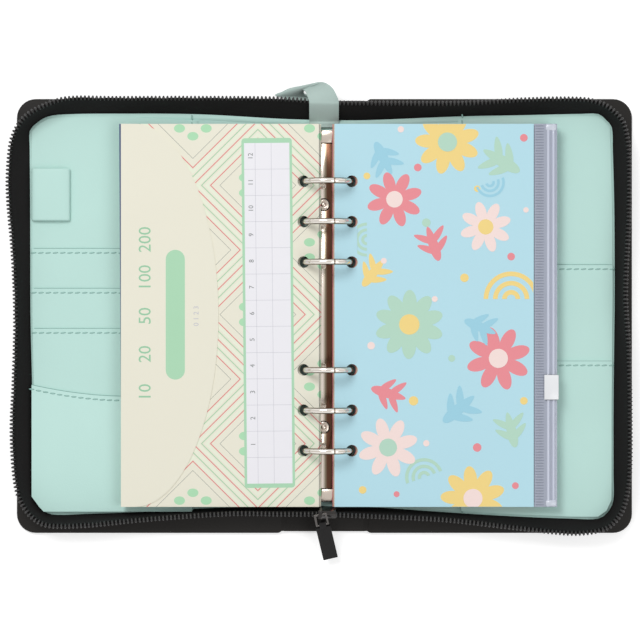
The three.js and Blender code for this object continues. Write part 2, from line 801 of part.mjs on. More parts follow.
// Strap loop: webbing that starts on the lining, climbs over the tape and turns back under it
const strapFoot = { lean: spineTopLean };
const strapTilt = tilt(strapFoot);
const strapLift = seat + strapThickness / 2;
const tapeFootY = halfHeight - spineTopInset;
const climb = (along) => [
  strapX,
  tapeFootY + along * Math.sin(strapTilt) - strapLift * Math.cos(strapTilt),
  shellThickness + along * Math.cos(strapTilt) + strapLift * Math.sin(strapTilt),
];
const strapLow = liningTop + strapLift;
const [, crestY, crestZ] = climb(tapeWidth + 0.6);
const strapPath = [
  { at: [strapX, tapeFootY - 2.4, strapLow], across: [1, 0, 0] },
  { at: [strapX, tapeFootY - 0.6, strapLow + 0.2], across: [1, 0, 0] },
  { at: climb(3), across: [1, 0, 0] },
  { at: climb(tapeWidth + 0.6), across: [1, 0, 0] },
  { at: [-0.3, crestY + 2, crestZ + 1.2], across: [1, 0, 0] },
  { at: [-1.4, crestY + 4.9, crestZ + 1.4], across: [0.98, 0.02, 0.2] },
  { at: [-2.9, crestY + 7.6, crestZ + 0.1], across: [0.85, 0.15, 0.5] },
  { at: [-6, crestY + 9.4, crestZ - 2.5], across: [0.7, 0.3, 0.65] },
  { at: [-10.4, crestY + 9.6, crestZ - 5.5], across: [0.62, 0.36, 0.7] },
  { at: [-14.6, crestY + 8.1, crestZ - 8.1], across: [0.8, 0.35, 0.4] },
  { at: [-16, crestY + 6.3, crestZ - 10.3], across: [0.97, 0.15, 0.1] },
  { at: [-12.8, spineEnd + 2.3, shellThickness / 2], across: [1, 0, 0] },
  { at: [-12.2, spineEnd + seat, shellThickness / 2], across: [1, 0, 0] },
].map(({ at, across }) => ({
  at: new THREE.Vector3(...at),
  across: new THREE.Vector3(...across).normalize(),
}));

function ribbon(path, width, thickness) {
  return loft(
    path.map(({ at, across }, i) => {
      const ahead = path[Math.min(i + 1, path.length - 1)].at;
      const behind = path[Math.max(i - 1, 0)].at;
      const up = ahead.clone().sub(behind).cross(across).normalize();
      return [[-1, -1], [1, -1], [1, 1], [-1, 1]].map(([s, u]) =>
        at.clone()
          .addScaledVector(across, (s * width) / 2)
          .addScaledVector(up, (u * thickness) / 2),
      );
    }),
  );
}
add("strap_loop", ribbon(strapPath, strapWidth, strapThickness), "webbing");

export default wallet;
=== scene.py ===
import math

import bmesh
import bpy
from mathutils import Matrix, Vector


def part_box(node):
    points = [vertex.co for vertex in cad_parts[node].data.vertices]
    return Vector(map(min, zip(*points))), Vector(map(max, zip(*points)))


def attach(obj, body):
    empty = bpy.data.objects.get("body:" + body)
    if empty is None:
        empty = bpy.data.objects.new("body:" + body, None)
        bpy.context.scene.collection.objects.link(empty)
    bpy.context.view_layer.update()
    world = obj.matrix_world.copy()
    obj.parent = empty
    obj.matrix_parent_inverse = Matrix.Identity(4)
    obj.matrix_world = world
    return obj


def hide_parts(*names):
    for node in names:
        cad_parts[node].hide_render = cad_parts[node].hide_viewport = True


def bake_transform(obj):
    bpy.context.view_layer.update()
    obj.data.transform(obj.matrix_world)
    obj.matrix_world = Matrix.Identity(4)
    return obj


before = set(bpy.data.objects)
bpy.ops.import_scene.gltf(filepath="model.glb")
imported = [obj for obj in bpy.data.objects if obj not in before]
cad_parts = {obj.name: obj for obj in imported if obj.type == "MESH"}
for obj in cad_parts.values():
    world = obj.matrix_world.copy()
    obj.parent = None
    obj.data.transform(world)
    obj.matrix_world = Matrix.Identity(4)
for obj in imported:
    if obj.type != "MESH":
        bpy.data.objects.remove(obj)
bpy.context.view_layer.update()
scene = bpy.context.scene
MM = 0.001

# Camera, floor and lights
# The open wallet lies on a white table and is seen from straight above.
# A pale world and two wide lamps light it evenly, with one soft shadow to the lower right.
camera_data = bpy.data.cameras.new("camera")
camera_data.sensor_width = 36
camera_data.lens = 189.4
camera_data.clip_end = 20
camera = bpy.data.objects.new("camera", camera_data)
camera.location = (-2.1 * MM, -1.9 * MM, 1.6)
scene.collection.objects.link(camera)
scene.camera = camera
scene.view_settings.view_transform = "Standard"


def white_where_seen(tree, shader, white, output):
    paths = tree.nodes.new("ShaderNodeLightPath")
    glossy = tree.nodes.new("ShaderNodeMath")
    glossy.operation = "MAXIMUM"
    seen = tree.nodes.new("ShaderNodeMath")
    seen.operation = "MAXIMUM"
    mix = tree.nodes.new("ShaderNodeMixShader")
    tree.links.new(paths.outputs["Is Glossy Ray"], glossy.inputs[0])
    tree.links.new(paths.outputs["Is Transmission Ray"], glossy.inputs[1])
    tree.links.new(paths.outputs["Is Camera Ray"], seen.inputs[0])
    tree.links.new(glossy.outputs[0], seen.inputs[1])
    tree.links.new(seen.outputs[0], mix.inputs["Fac"])
    tree.links.new(shader.outputs[0], mix.inputs[1])
    tree.links.new(white.outputs[0], mix.inputs[2])
    tree.links.new(mix.outputs[0], output.inputs["Surface"])


world = bpy.data.worlds.new("studio")
world.use_nodes = True
scene.world = world
sky_tree = world.node_tree
sky = sky_tree.nodes["Background"]
sky.inputs["Color"].default_value = (1, 1, 1, 1)
sky.inputs["Strength"].default_value = 0.46
seen_sky = sky_tree.nodes.new("ShaderNodeBackground")
seen_sky.inputs["Color"].default_value = (1, 1, 1, 1)
seen_sky.inputs["Strength"].default_value = 1
white_where_seen(sky_tree, sky, seen_sky, sky_tree.nodes["World Output"])


def lamp(name, place, width, power):
    data = bpy.data.lights.new(name, "AREA")
    data.shape = "DISK"
    data.size = width
    data.energy = power
    obj = bpy.data.objects.new(name, data)
    obj.matrix_world = Matrix.Translation(place) @ Vector(place).to_track_quat("Z", "Y").to_matrix().to_4x4()
    scene.collection.objects.link(obj)


lamp("key_lamp", (-0.5, 0.7, 1.3), 0.7, 11.2)
lamp("fill_lamp", (0.8, -0.3, 1.2), 0.9, 4.8)

floor_mesh = bpy.data.meshes.new("floor")
floor_mesh.from_pydata([(-3, -3, 0), (3, -3, 0), (3, 3, 0), (-3, 3, 0)], [], [(0, 1, 2, 3)])
floor = bpy.data.objects.new("floor", floor_mesh)
scene.collection.objects.link(floor)
floor_look = bpy.data.materials.new("white table")
floor_look.use_nodes = True
floor_tree = floor_look.node_tree
floor_tree.nodes.remove(floor_tree.nodes["Principled BSDF"])
matt_white = floor_tree.nodes.new("ShaderNodeBsdfDiffuse")
matt_white.inputs["Color"].default_value = (0.82, 0.82, 0.82, 1)
glow = floor_tree.nodes.new("ShaderNodeEmission")
glow.inputs["Strength"].default_value = 0.46
lit_white = floor_tree.nodes.new("ShaderNodeAddShader")
floor_tree.links.new(matt_white.outputs[0], lit_white.inputs[0])
floor_tree.links.new(glow.outputs[0], lit_white.inputs[1])
white_where_seen(floor_tree, matt_white, lit_white, floor_tree.nodes["Material Output"])
floor_mesh.materials.append(floor_look)


# Case boards
# Two cover boards and a spine board, wrapped in black grained leathercloth with turned edges.
# Cloth runs across each fold line.
def tint(red, green, blue):
    linear = []
    for level in (red, green, blue):
        share = level / 255
        linear.append(share / 12.92 if share <= 0.04045 else ((share + 0.055) / 1.055) ** 2.4)
    return (*linear, 1)


def surface(
    name, colour, rough, grain=0.6, depth=0.06, mottle=0.05, metal=0.0, sheen=0.0, coat=0.0, shine=0.5,
):
    look = bpy.data.materials.new(name)
    look.use_nodes = True
    tree = look.node_tree
    shader = tree.nodes["Principled BSDF"]
    shader.inputs["Roughness"].default_value = rough
    shader.inputs["Metallic"].default_value = metal
    shader.inputs["Sheen Weight"].default_value = sheen
    shader.inputs["Coat Weight"].default_value = coat
    shader.inputs["Specular IOR Level"].default_value = shine
    place = tree.nodes.new("ShaderNodeTexCoord")
    place.name = "place"
    fine = tree.nodes.new("ShaderNodeTexNoise")
    fine.inputs["Scale"].default_value = 1 / (grain * MM)
    fine.inputs["Detail"].default_value = 4
    broad = tree.nodes.new("ShaderNodeTexNoise")
    broad.inputs["Scale"].default_value = 28
    broad.inputs["Detail"].default_value = 3
    blotch = tree.nodes.new("ShaderNodeMix")
    blotch.name = "base colour"
    blotch.data_type = "RGBA"
    blotch.inputs[6].default_value = tuple(level * (1 - mottle) for level in colour[:3]) + (1,)
    blotch.inputs[7].default_value = tuple(min(1, level * (1 + mottle)) for level in colour[:3]) + (1,)
    bump = tree.nodes.new("ShaderNodeBump")
    bump.inputs["Strength"].default_value = 0.6
    bump.inputs["Distance"].default_value = depth * MM
    tree.links.new(place.outputs["Object"], fine.inputs["Vector"])
    tree.links.new(place.outputs["Object"], broad.inputs["Vector"])
    tree.links.new(broad.outputs["Fac"], blotch.inputs[0])
    tree.links.new(blotch.outputs[2], shader.inputs["Base Color"])
    tree.links.new(fine.outputs["Fac"], bump.inputs["Height"])
    tree.links.new(bump.outputs["Normal"], shader.inputs["Normal"])
    return look


def make(name, points, faces, look, body=None, smooth=40):
    mesh = bpy.data.meshes.new(name)
    mesh.from_pydata([tuple(level * MM for level in point) for point in points], [], faces)
    shape = bmesh.new()
    shape.from_mesh(mesh)
    bmesh.ops.remove_doubles(shape, verts=shape.verts, dist=1e-7)
    bmesh.ops.recalc_face_normals(shape, faces=shape.faces)
    shape.to_mesh(mesh)
    shape.free()
    mesh.materials.append(look)
    if smooth:
        mesh.shade_smooth()
        mesh.set_sharp_from_angle(angle=math.radians(smooth))
    obj = bpy.data.objects.new(name, mesh)
    scene.collection.objects.link(obj)
    if body:
        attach(obj, body)
    return obj


def loft(rings, closed=False):
    """Points and faces of a closed tube of rings, capped at both ends unless it closes on itself."""
    count = len(rings[0])
    points = [point for ring in rings for point in ring]
    faces = []
    for i in range(len(rings) if closed else len(rings) - 1):
        a, b = i * count, (i + 1) % len(rings) * count
        for k in range(count):
            faces.append((a + k, a + (k + 1) % count, b + (k + 1) % count, b + k))
    if not closed:
        faces.append(tuple(range(count))[::-1])
        faces.append(tuple(range(len(points) - count, len(points))))
    return points, faces


def board_outline(left, right, bottom, top, round_left, round_right, inset):
    corners = [
        (right, bottom, -90, round_right), (right, top, 0, round_right),
        (left, top, 90, round_left), (left, bottom, 180, round_left),
    ]
    outline = []
    for x, y, start, radius in corners:
        reach = max(radius - inset, 0.15)
        cx = x - math.copysign(inset + reach, x - (left + right) / 2)
        cy = y - math.copysign(inset + reach, y)
        for step in range(9):
            angle = math.radians(start + 90 * step / 8)
            outline.append((cx + reach * math.cos(angle), cy + reach * math.sin(angle)))
    return outline


leathercloth = surface("black grained leathercloth", tint(30, 28, 26), 0.6, 0.7, 0.12, 0.12, shine=0.2)
case_x = 146
case_y = 103
fold_x = 19.5
edge_rounding = [(1.1, 0), (0.45, 0.25), (0.1, 0.8), (0, 1.5), (0.1, 2.2), (0.45, 2.75), (1.1, 3)]
boards = [
    ("left_board", "left_shell", "left_cover", -case_x, -19.8, case_y, 9, 2.5),
    ("right_board", "right_shell", "right_cover", 19.8, case_x, case_y, 2.5, 9),
    ("spine_board", "spine_panel", "spine", -19.2, 19.2, 102.2, 0.3, 0.3),
]
for name, node, body, left, right, end, round_left, round_right in boards:
    rings = []
    for inset, height in edge_rounding:
        outline = board_outline(left, right, -end, end, round_left, round_right, inset)
        rings.append([(x, y, height) for x, y in outline])
    board = make(name, *loft(rings), leathercloth, body)
    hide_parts(node)

cloth_end = 102
cloth_section = [(-cloth_end, 0.12), (cloth_end, 0.12), (cloth_end, 2.9), (-cloth_end, 2.9)]
cloth_columns = [18.3, 18.9, 19.2, 19.4, 19.6, 19.8, 20.1, 20.7]
for name, side in (("left", -1), ("right", 1)):
    rings = [[(side * x, y, z) for y, z in cloth_section] for x in cloth_columns]
    hinge = make(name + "_hinge_cloth", *loft(rings), leathercloth)
    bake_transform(hinge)

# Lining and pockets
# Mint leathercloth over thin card, with slip pockets, card pockets and one curved pocket sewn on it.
# Each pocket's edge is turned over and sewn down with short sunk stitches; the shade in the needle holes and
# under the turned edges is painted as darker mint marks.
mint_colour = tint(186, 222, 214)
mint = surface("mint lining leathercloth", mint_colour, 0.55, 0.8, 0.05, 0.035)
thread = surface("mint sewing thread", tint(158, 198, 189), 0.7, 0.3, 0.05, 0.05)
# Painted shade: a darker mint for the shade in needle holes and under turned edges.
hole_and_edge_shade = surface("shade in needle holes and under turned edges", tint(124, 166, 158), 0.8, 0.3, 0.05, 0.05)


def dress(node, look):
    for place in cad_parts[node].material_slots:
        place.material = look


lined = ["spine_lining", "left_lining", "right_lining", "left_slip_pocket", "right_slip_pocket"]
lined += [f"left_card_pocket_{n}" for n in (1, 2, 3)] + [f"right_card_pocket_{n}" for n in (1, 2)]
for node in lined:
    dress(node, mint)

for name, side in (("left", -1), ("right", 1)):
    rings = []
    for x in (16.6, 17.6, 18.4, 19, 19.5, 20, 20.6, 21.4, 22.4):
        dip = 0.12 * math.exp(-((x - 19.5) / 0.8) ** 2)
        low, high = 3.62 - dip, 3.85 - dip
        section = ((-89.8, low), (91.2, low), (91.2, high), (-89.8, high))
        rings.append([(side * x, y, z) for y, z in section])
    strip = make(name + "_lining_strip", *loft(rings), mint)
    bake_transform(strip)


def bead_tree():
    """Beads of one size at a pitch along a line of edges."""
    tree = bpy.data.node_groups.new("beads along a line", "GeometryNodeTree")
    face = tree.interface
    face.new_socket(name="Line", in_out="INPUT", socket_type="NodeSocketGeometry")
    face.new_socket(name="Pitch", in_out="INPUT", socket_type="NodeSocketFloat")
    face.new_socket(name="Size", in_out="INPUT", socket_type="NodeSocketVector")
    face.new_socket(name="Turn", in_out="INPUT", socket_type="NodeSocketFloat")
    face.new_socket(name="Segments", in_out="INPUT", socket_type="NodeSocketInt")
    face.new_socket(name="Finish", in_out="INPUT", socket_type="NodeSocketMaterial")
    face.new_socket(name="Beads", in_out="OUTPUT", socket_type="NodeSocketGeometry")
    inputs = tree.nodes.new("NodeGroupInput")
    output = tree.nodes.new("NodeGroupOutput")
    curve = tree.nodes.new("GeometryNodeMeshToCurve")
    points = tree.nodes.new("GeometryNodeCurveToPoints")
    points.mode = "LENGTH"
    bead = tree.nodes.new("GeometryNodeMeshUVSphere")
    bead.inputs["Rings"].default_value = 6
    bead.inputs["Radius"].default_value = 0.5
    shape = tree.nodes.new("GeometryNodeTransform")
    slant = tree.nodes.new("ShaderNodeCombineXYZ")
    along = tree.nodes.new("FunctionNodeAlignRotationToVector")
    along.axis = "X"
    upright = tree.nodes.new("FunctionNodeAlignRotationToVector")
    upright.axis = "Z"
    upright.pivot_axis = "X"
    upright.inputs["Vector"].default_value = (0, 0, 1)
    copies = tree.nodes.new("GeometryNodeInstanceOnPoints")
    real = tree.nodes.new("GeometryNodeRealizeInstances")
    smooth = tree.nodes.new("GeometryNodeSetShadeSmooth")
    finish = tree.nodes.new("GeometryNodeSetMaterial")
    link = tree.links.new
    link(inputs.outputs["Line"], curve.inputs["Mesh"])
    link(curve.outputs["Curve"], points.inputs["Curve"])
    link(inputs.outputs["Pitch"], points.inputs["Length"])
    link(inputs.outputs["Segments"], bead.inputs["Segments"])
    link(bead.outputs["Mesh"], shape.inputs["Geometry"])
    link(inputs.outputs["Size"], shape.inputs["Scale"])
    link(inputs.outputs["Turn"], slant.inputs["Z"])
    link(slant.outputs[0], shape.inputs["Rotation"])
    link(points.outputs["Tangent"], along.inputs["Vector"])
    link(along.outputs["Rotation"], upright.inputs["Rotation"])
    link(points.outputs["Points"], copies.inputs["Points"])
    link(shape.outputs["Geometry"], copies.inputs["Instance"])
    link(upright.outputs["Rotation"], copies.inputs["Rotation"])
    link(copies.outputs["Instances"], real.inputs["Geometry"])
    link(real.outputs["Geometry"], smooth.inputs["Geometry"])
    link(smooth.outputs["Geometry"], finish.inputs["Geometry"])
    link(inputs.outputs["Finish"], finish.inputs["Material"])
    link(finish.outputs["Geometry"], output.inputs["Beads"])
    return tree


beads = bead_tree()
bead_inputs = {item.name: item.identifier for item in beads.interface.items_tree if item.in_out == "INPUT"}


def beads_along(name, lines, pitch, size, look, body=None, turn=0.0, segments=8):
    points = []
    edges = []
    for line in lines:
        first = len(points)
        points += [tuple(level * MM for level in point) for point in line]
        edges += [(i, i + 1) for i in range(first, len(points) - 1)]
    mesh = bpy.data.meshes.new(name + "_line")
    mesh.from_pydata(points, edges, [])
    holder = bpy.data.objects.new(name + "_line", mesh)
    scene.collection.objects.link(holder)
    modifier = holder.modifiers.new("beads", "NODES")
    modifier.node_group = beads
    modifier[bead_inputs["Pitch"]] = pitch * MM
    modifier[bead_inputs["Size"]] = [level * MM for level in size]
    modifier[bead_inputs["Turn"]] = turn
    modifier[bead_inputs["Segments"]] = segments
    modifier[bead_inputs["Finish"]] = look
    made = bpy.data.meshes.new_from_object(holder.evaluated_get(bpy.context.evaluated_depsgraph_get()))
    bpy.data.objects.remove(holder)
    obj = bpy.data.objects.new(name, made)
    scene.collection.objects.link(obj)
    if body:
        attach(obj, body)
    return obj


def curved_edge(x):
    """Upper edge of the curved pocket, which sags towards the spine."""
    share = min(1, max(0, (x + 138.8) / 42.9))
    return -32.5 - 5.4 * (1 - (1 - share) ** 1.8) - max(0, (x + 95.9)) * 0.05


curved_low, curved_high = 5.82, 6.3
curved_xs = [-138.6 + i * 1.9 for i in range(41)]
curved_rings = []
for x in curved_xs:
    bottom = max(-92.6, -91.9 - (x + 133.8) * 4 / 3)
    top = curved_edge(x)
    curved_rings.append([
        (x, bottom, curved_low), (x, top, curved_low), (x, top, curved_high - 0.15),
        (x, top - 0.2, curved_high), (x, bottom, curved_high),
    ])
curved_pocket = make("curved_pocket", *loft(curved_rings), mint, "left_cover")
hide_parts("left_curved_pocket")

turned_edge = 2.1
left_seams = [
    [(-62.7, -91, 4.3), (-62.7, 94, 4.3)],
    [(-61.8, 29.9, 4.8), (-137.8, 29.9, 4.8)],
    [(-61.8, 11.0, 5.3), (-137.6, 11.0, 5.3)],
    [(-61.8, -8.0, 5.8), (-137.4, -8.0, 5.8)],
    [(x, curved_edge(x) - turned_edge, 6.3) for x in curved_xs[:-1]],
]
right_seams = [
    [(65.3, -92, 4.3), (65.3, 95, 4.3)],
    [(64.8, 22.2, 4.8), (136.4, 22.2, 4.8)],
    [(64.8, -23.4, 5.3), (136, -23.4, 5.3)],
]
for name, seams in (("left", left_seams), ("right", right_seams)):
    sunk = [[(x, y, z + 0.01) for x, y, z in seam] for seam in seams]
    # Painted shade: flat darker mint beads under the stitches stand for the shade in the needle holes.
    holes = beads_along(name + "_needle_hole_shade", sunk, 3.35, (2.75, 0.8, 0.1), hole_and_edge_shade, name + "_cover", 0.12)
    raised = [[(x, y, z + 0.05) for x, y, z in seam] for seam in seams]
    stitches = beads_along(name + "_stitches", raised, 3.35, (2.2, 0.55, 0.35), thread, name + "_cover", 0.12)
    # Painted shade: a thin darker mint strip along each pocket's turned edge stands for the shade under it.
    for number, seam in enumerate(seams[1:], 1):
        rings = []
        for x, y, z in seam:
            near, far = y + turned_edge - 0.11, y + turned_edge + 0.11
            rings.append([(x, near, z - 0.3), (x, near, z + 0.03), (x, far, z + 0.03), (x, far, z - 0.3)])
        line = make(f"{name}_turned_edge_{number}", *loft(rings), hole_and_edge_shade, name + "_cover", smooth=0)


# Zip tape and teeth
# Black woven tape stands round the lining and leans outwards, with a row of moulded teeth on its top edge.
# It is one strip on each half of the case.
def tape_stations(side, top, top_corner, sides, bottom_corner, bottom):
    def on_edge(end, share, inset, lean):
        return (side * (fold_x + share * (case_x - fold_x)), end * (case_y - inset), 0, end, lean)

    def on_corner(end, side_inset, end_inset, heading, lean):
        turn = math.radians(heading)
        x, y = side * (case_x - side_inset), end * (case_y - end_inset)
        return (x, y, side * math.cos(turn), end * math.sin(turn), lean)

    stations = [(0, 93, 0, 1, 7.4)]
    stations += [on_edge(1, *values) for values in top]
    stations += [on_corner(1, *values) for values in top_corner]
    stations += [(side * (case_x - inset), share * case_y, side, 0, lean) for share, inset, lean in sides]
    stations += [on_corner(-1, *values) for values in bottom_corner]
    stations += [on_edge(-1, *values) for values in bottom]
    stations.append((0, -90.4, 0, -1, 2.5))
    return stations


def smooth_stations(stations, step):
    """Catmull-Rom curve through the stations, at about one step apart."""
    result = []
    last = len(stations) - 1
    for i in range(last):
        a, b, c, d = (stations[min(max(k, 0), last)] for k in (i - 1, i, i + 1, i + 2))
        span = math.hypot(c[0] - b[0], c[1] - b[1])
        before = max(math.hypot(b[0] - a[0], b[1] - a[1]), 1e-6) if i else span
        after = max(math.hypot(d[0] - c[0], d[1] - c[1]), 1e-6) if i + 2 <= last else span
        count = max(1, round(span / step))
        for k in range(count):
            t = k / count
            h1, h2 = 2 * t ** 3 - 3 * t ** 2 + 1, t ** 3 - 2 * t ** 2 + t
            h3, h4 = -2 * t ** 3 + 3 * t ** 2, t ** 3 - t ** 2
            point = []
            for n in range(5):
                slope_b = (c[n] - a[n]) / (span + before) * span if i else c[n] - b[n]
                slope_c = (d[n] - b[n]) / (span + after) * span if i + 2 <= last else c[n] - b[n]
                point.append(h1 * b[n] + h2 * slope_b + h3 * c[n] + h4 * slope_c)
            result.append(point)
    result.append(list(stations[-1]))
    for point in result:
        length = math.hypot(point[2], point[3])
        point[2] /= length
        point[3] /= length
    return result


def on_tape(station, along, across):
    """A point on the tape: distance up it from its foot, and from its inner face outwards."""
    x, y, out_x, out_y, lean = station
    angle = math.asin(lean / 13)
    bow = 0.5 * math.sin(math.pi * min(along, 11.8) / 11.8)
    reach = along * math.sin(angle) + (across + bow) * math.cos(angle)
    height = 3.05 + along * math.cos(angle) - (across + bow) * math.sin(angle)
    return (x + out_x * reach, y + out_y * reach, height)


tapes = {
    "left": tape_stations(
        -1,
        [(0, 9.4, 8.6), (0.32, 7.2, 6.6), (0.636, 6.9, 6.2), (0.81, 7.2, 6.4)],
        [(15, 8.2, 72, 4), (9.6, 11.3, 50, 4.2), (6.2, 15, 28, 4.5)],
        [(0.78, 6.1, 8), (0.58, 6.3, 9.6), (0.29, 6.4, 7), (0, 6.5, 5.8),
         (-0.29, 7.2, 7.3), (-0.54, 7.8, 9.1), (-0.78, 8.6, 7.9)],
        [(9.2, 14.5, 28, 4.5), (12.4, 10.8, 52, 4.3), (17, 8.7, 75, 4.2)],
        [(0.74, 9, 4.3), (0.53, 10, 2.6), (0.2, 12.2, 1.9), (0, 12.6, 2.5)],
    ),
    "right": tape_stations(
        1,
        [(0, 10, 7.1), (0.36, 8.2, 5.1), (0.6, 7.6, 6.3), (0.81, 7, 5.8)],
        [(16, 7.1, 70, 3.7), (12.2, 10.1, 45, 3.9), (9.6, 13.5, 22, 4.3)],
        [(0.76, 9.1, 6.2), (0.49, 8.4, 5.6), (0.1, 8.2, 3.6), (-0.15, 8.5, 5.5), (-0.44, 8.8, 6.6),
         (-0.73, 8.8, 6.3)],
        [(8.9, 15.5, 20, 4.1), (11.5, 10, 45, 3.9), (16, 6.8, 68, 4.3)],
        [(0.77, 6.8, 6), (0.565, 7.8, 4.3), (0.3, 9.8, 2.4), (0, 12.4, 3.2)],
    ),
}
tape_cloth = surface("black woven zip tape", tint(27, 26, 26), 0.85, 0.35, 0.15, 0.1, shine=0.15)
tooth_plastic = surface("black moulded teeth", tint(28, 27, 27), 0.4, 0.4, 0.03, 0.1)
for name, side in (("left", -1), ("right", 1)):
    stations = smooth_stations(tapes[name], 2.4)
    rings = []
    for station in stations:
        ring = [on_tape(station, along, 0) for along in (0, 2.4, 4.8, 7.2, 9.6, 11.9)]
        ring += [on_tape(station, along, 0.9) for along in (11.9, 9.6, 7.2, 4.8, 2.4, 0)]
        rings.append(ring)
    tape = make(name + "_tape", *loft(rings), tape_cloth, smooth=50)
    teeth = beads_along(
        name + "_teeth", [[on_tape(station, 12.7, 0.45) for station in stations]],
        1.85, (1.25, 2.5, 1.7), tooth_plastic, segments=10,
    )
    cord_lines = [[on_tape(station, 11.6, across) for station in stations] for across in (-0.25, 1.15)]
    seam = beads_along(name + "_teeth_seam", cord_lines, 2.1, (1.9, 0.5, 0.5), tape_cloth)
    piping_rings = []
    for station in stations:
        x, y, out_x, out_y, lean = station
        ring = []
        for step in range(8):
            angle = 2 * math.pi * step / 8
            reach = -1.5 + 1.35 * math.cos(angle)
            ring.append((x + out_x * reach, y + out_y * reach, 3.6 + 0.3 * math.sin(angle)))
        piping_rings.append(ring)
    piping = make(name + "_lining_edge", *loft(piping_rings), mint, smooth=60)
    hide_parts(name + "_zip_tape", "spine_tape_top" if side < 0 else "spine_tape_bottom")
    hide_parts(name + "_zip_teeth")
    for piece in (tape, teeth, seam, piping):
        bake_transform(piece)

# Pen loop
# A short tube of mint leathercloth, pressed nearly flat and sewn to the slip pocket along one side.
def flat_oval(y, half_wide, half_tall):
    """A flattened ring round the middle line of the pen loop."""
    ring = []
    for step in range(24):
        angle = 2 * math.pi * step / 24
        wide = abs(math.cos(angle)) ** 0.55 * math.copysign(1, math.cos(angle))
        tall = abs(math.sin(angle)) ** 0.8 * math.copysign(1, math.sin(angle))
        ring.append((-129.6 + half_wide * wide, y, 5.65 + half_tall * tall))
    return ring


loop_rings = []
for y in (45.2, 45.5, 46.2, 57.6, 68.8, 69.5, 69.8):
    draw_in = 0.25 if y in (45.2, 69.8) else 0.06 if y in (45.5, 69.5) else 0
    loop_rings.append(flat_oval(y, 9.1 - draw_in, 1.3 - draw_in))
inner_rings = [flat_oval(y, 8.3, 0.55) for y in (45.2, 69.8)]
pen_loop = make("pen_loop_tube", *loft(loop_rings + inner_rings[::-1], closed=True), mint, "left_cover")
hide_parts("pen_loop")

# Ring mechanism
# A pressed nickel-plated arch with two rivets, six round wire rings in two halves, and a lever at each end.
nickel = surface("polished nickel plate", tint(196, 184, 172), 0.2, 1.5, 0.01, 0.06, metal=1.0)
# Painted reflection: the arch and wire materials take their colour from position bands below, standing for
# the room reflected in them.
arch_nickel_painted_reflection = surface("polished nickel arch", tint(214, 205, 196), 0.24, 1.5, 0.01, 0.06, metal=1.0)
wire_nickel_painted_highlight = surface("polished nickel wire", tint(226, 220, 213), 0.14, 1.5, 0.01, 0.03, metal=1.0)
# Painted shade: the blades get a darker steel for the shade under the arch.
blade_steel_painted_shade = surface("blades in the arch's shade", tint(120, 112, 104), 0.35, 0.8, 0.02, 0.1, metal=1.0)


def math_node(tree, operation, first, second=None, third=None):
    node = tree.nodes.new("ShaderNodeMath")
    node.operation = operation
    for place, value in enumerate((first, second, third)):
        if value is None:
            continue
        if isinstance(value, (int, float)):
            node.inputs[place].default_value = value
        else:
            tree.links.new(value, node.inputs[place])
    return node.outputs[0]


def band(look, axis, bend, stops):
    """Painted reflections: colour bands that stand for the room reflected in bright metal, along one axis of
    the piece.
    """
    tree = look.node_tree
    split = tree.nodes.new("ShaderNodeSeparateXYZ")
    tree.links.new(tree.nodes["place"].outputs["Object"], split.inputs[0])
    ramp = tree.nodes.new("ShaderNodeValToRGB")
    while len(ramp.color_ramp.elements) < len(stops):
        ramp.color_ramp.elements.new(1)
    for element, (share, colour) in zip(ramp.color_ramp.elements, stops):
        element.position = share
        element.color = colour
    tree.links.new(bend(tree, split.outputs[axis]), ramp.inputs["Fac"])
    tree.links.new(ramp.outputs["Color"], tree.nodes["Principled BSDF"].inputs["Base Color"])


def across_arch(tree, x):
    """0 at 9.5 mm left of the rings' middle and 1 at 9.5 mm right of it."""
    return math_node(tree, "MULTIPLY_ADD", x, 1 / (19 * MM), 0.5 - ring_x / 19)


ring_x = 1.5
first_ring = 25.4
ring_pitch = 19.05
wire_radius = 1.45


def across_wire(tree, y):
    """0 in the middle of a ring's wire and 1 at its sides."""
    from_first = math_node(tree, "SUBTRACT", math_node(tree, "ABSOLUTE", y), first_ring * MM)
    beside = math_node(tree, "PINGPONG", from_first, ring_pitch / 2 * MM)
    return math_node(tree, "DIVIDE", beside, wire_radius * MM)


# Painted reflection on the arch: light bands at its sides and a dark brown band right of its middle.
band(arch_nickel_painted_reflection, "X", across_arch, [
    (0, tint(120, 104, 92)), (0.22, tint(206, 192, 180)), (0.38, tint(214, 202, 192)),
    (0.44, tint(126, 116, 98)), (0.49, tint(86, 58, 44)), (0.6, tint(80, 54, 42)),
    (0.66, tint(112, 106, 98)), (0.8, tint(196, 184, 172)), (1, tint(110, 96, 86)),
])
# Painted highlight along each wire's middle, and painted reflection darkening it towards its sides.
band(wire_nickel_painted_highlight, "Y", across_wire, [
    (0, tint(190, 178, 166)), (0.3, tint(238, 234, 228)), (0.55, tint(228, 222, 214)),
    (0.8, tint(134, 118, 104)), (1, tint(74, 62, 54)),
])


def bevelled_copy(node, look, body, edge, name):
    """The node's own mesh, merged and given rounded edges."""
    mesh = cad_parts[node].data.copy()
    shape = bmesh.new()
    shape.from_mesh(mesh)
    bmesh.ops.remove_doubles(shape, verts=shape.verts, dist=1e-6)
    bmesh.ops.dissolve_limit(shape, angle_limit=math.radians(2), verts=shape.verts, edges=shape.edges)
    shape.to_mesh(mesh)
    shape.free()
    mesh.materials.clear()
    mesh.materials.append(look)
    mesh.shade_smooth()
    obj = bpy.data.objects.new(name, mesh)
    scene.collection.objects.link(obj)
    bevel = obj.modifiers.new("edges", "BEVEL")
    bevel.width = edge * MM
    bevel.segments = 2
    bevel.limit_method = "ANGLE"
    bevel.angle_limit = math.radians(32)
    bevel.harden_normals = True
    made = bpy.data.meshes.new_from_object(obj.evaluated_get(bpy.context.evaluated_depsgraph_get()))
    obj.modifiers.clear()
    obj.data = made
    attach(obj, body)
    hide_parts(node)


